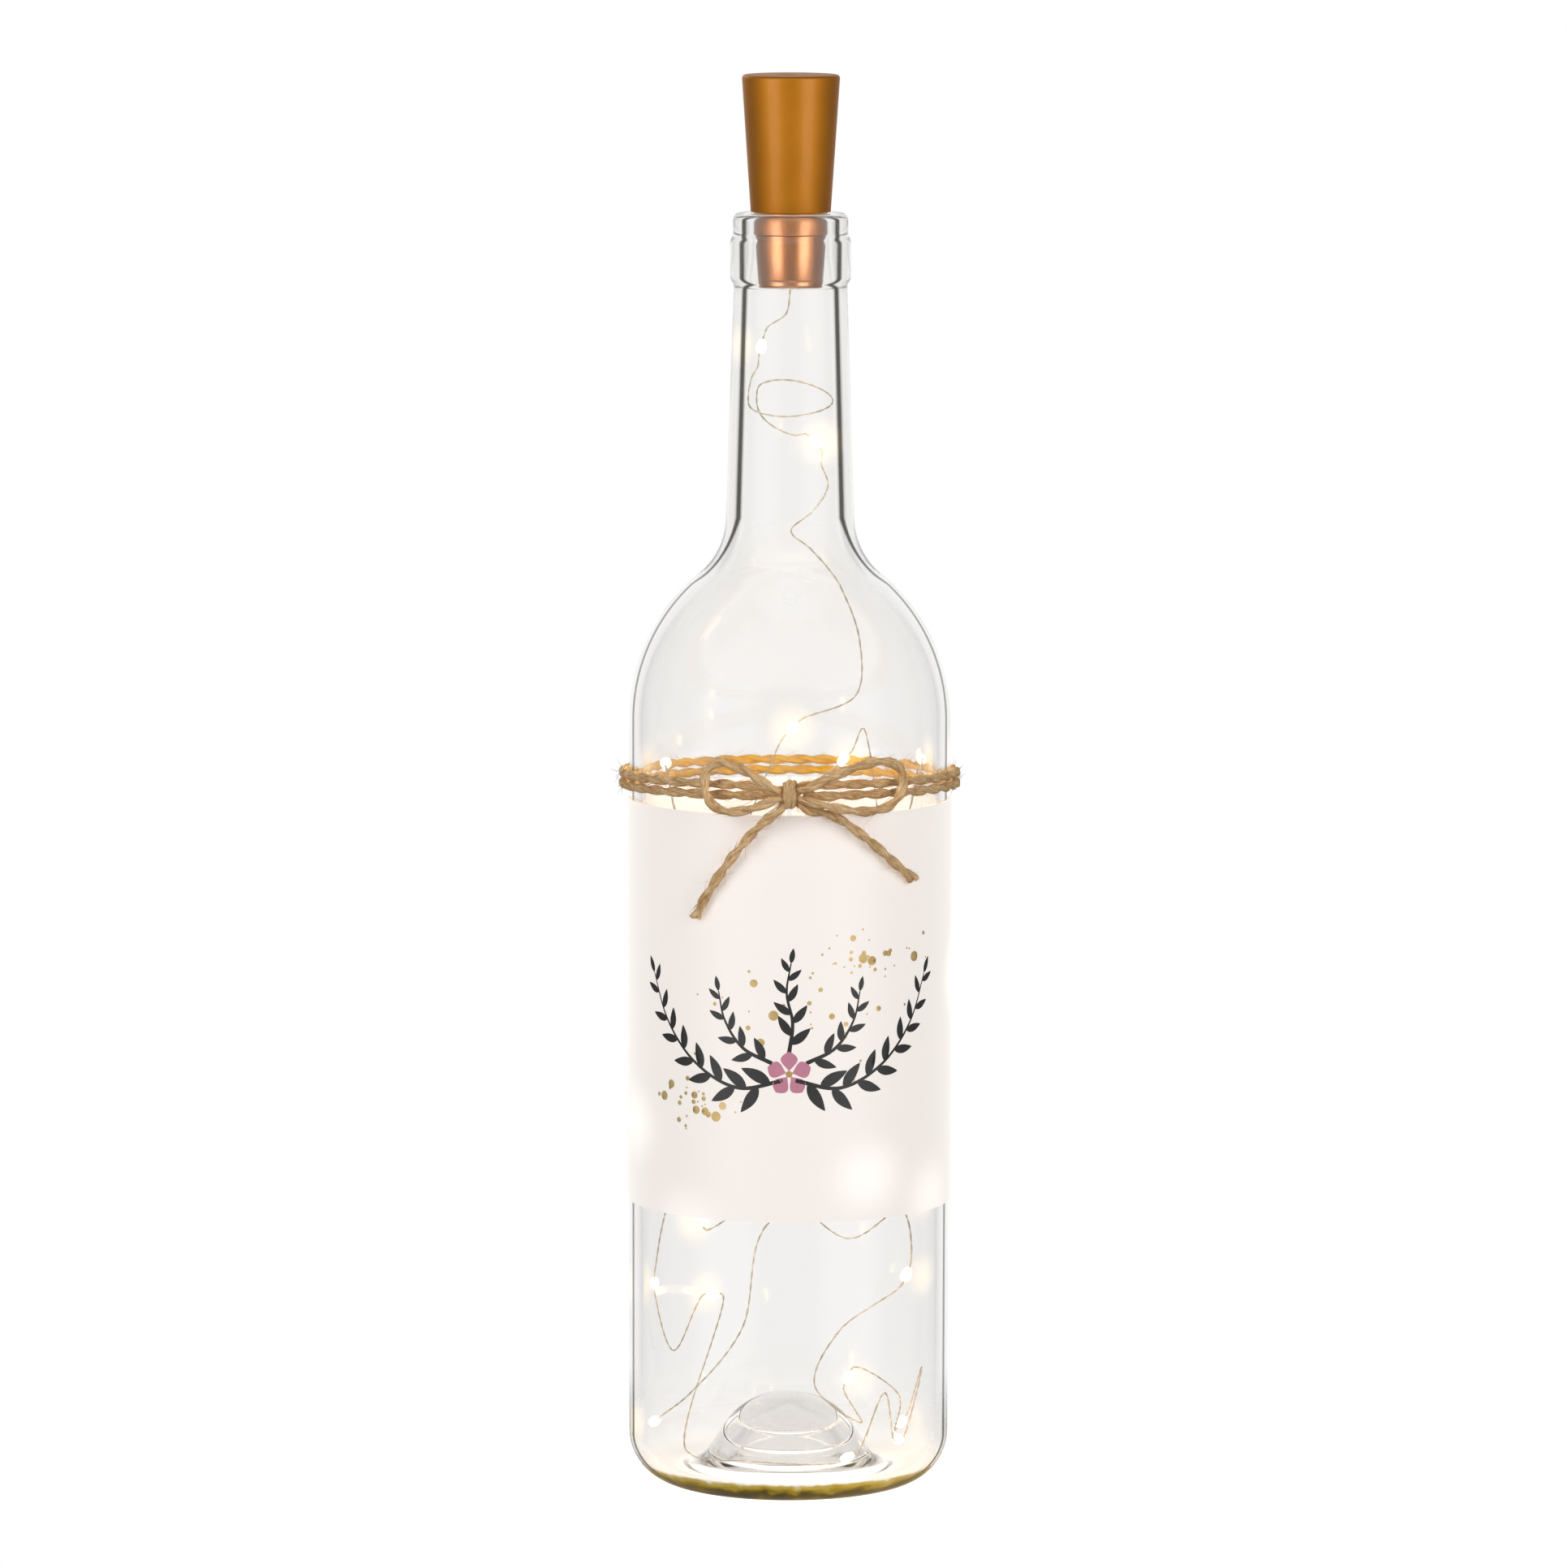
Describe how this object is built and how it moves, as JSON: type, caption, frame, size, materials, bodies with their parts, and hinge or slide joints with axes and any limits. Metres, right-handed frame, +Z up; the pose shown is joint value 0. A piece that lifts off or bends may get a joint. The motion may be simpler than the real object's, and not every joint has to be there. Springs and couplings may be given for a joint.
{
  "type": "bottle light",
  "caption": "Clear glass bottle with a string of warm wire lights inside, a tapered stopper that holds the button cells and slide switch, a printed wrap and a jute twine bow.",
  "frame": {"origin": "centre of the base, on the surface that the bottle stands on", "axes": "+Z up along the axis of the bottle; the bow and the print face -Y, so +X is on the right seen from the front"},
  "size_m": [0.08, 0.0865, 0.333],
  "materials": {
    "clear_glass": "clear gloss",
    "printed_film": "satin print",
    "jute_twine": "coarse twisted fibre",
    "bronze_plastic": "satin metallic bronze",
    "brown_plastic": "matt",
    "cell_steel": "plated",
    "spring_steel": "plated",
    "brass_sheet": "bright",
    "board_green": "solder mask",
    "switch_tin": "tinned",
    "black_plastic": "matt",
    "red_insulation": "satin",
    "seal_resin": "clear resin",
    "copper_wire": "enamelled",
    "warm_light": "clear resin, lit warm white"
  },
  "bodies": {
    "bottle": {"bottle": "clear_glass", "label_wrap": "printed_film", "twine_wrap": "jute_twine", "bow_loop_left": "jute_twine", "bow_loop_right": "jute_twine", "twine_tail_left": "jute_twine", "twine_tail_right": "jute_twine", "bow_knot": "jute_twine", "neck_wire": "copper_wire", "light_wire": "copper_wire", "led_02": "warm_light", "led_03": "warm_light", "led_04": "warm_light", "led_05": "warm_light", "led_06": "warm_light", "led_07": "warm_light", "led_08": "warm_light", "led_09": "warm_light", "led_10": "warm_light", "led_11": "warm_light", "led_12": "warm_light", "led_13": "warm_light", "led_14": "warm_light", "led_15": "warm_light", "led_16": "warm_light", "led_17": "warm_light", "led_18": "warm_light", "led_19": "warm_light", "led_20": "warm_light"},
    "carrier": {"battery_carrier": "brown_plastic", "button_cell_1": "cell_steel", "button_cell_2": "cell_steel", "button_cell_3": "cell_steel", "contact_spring": "spring_steel", "contact_plate": "brass_sheet", "circuit_board": "board_green", "resistor": "black_plastic", "switch_case": "switch_tin", "feed_lead": "red_insulation", "return_lead": "black_plastic", "wire_seal": "seal_resin", "lead_in_wire": "copper_wire", "led_01": "warm_light"},
    "shell": {"stopper_shell": "bronze_plastic"},
    "slider": {"switch_slider": "black_plastic"}
  },
  "joints": [
    {"name": "stopper_lift", "type": "slide", "parent": "bottle", "child": "carrier", "axis": [0, 0, 1], "range_m": [0, 0.06], "deforming": ["neck_wire"]},
    {"name": "shell_pull", "type": "slide", "parent": "carrier", "child": "shell", "axis": [0, 0, 1], "range_m": [0, 0.04]},
    {"name": "switch_slide", "type": "slide", "parent": "carrier", "child": "slider", "axis": [1, 0, 0], "range_m": [-0.002, 0]}
  ]
}
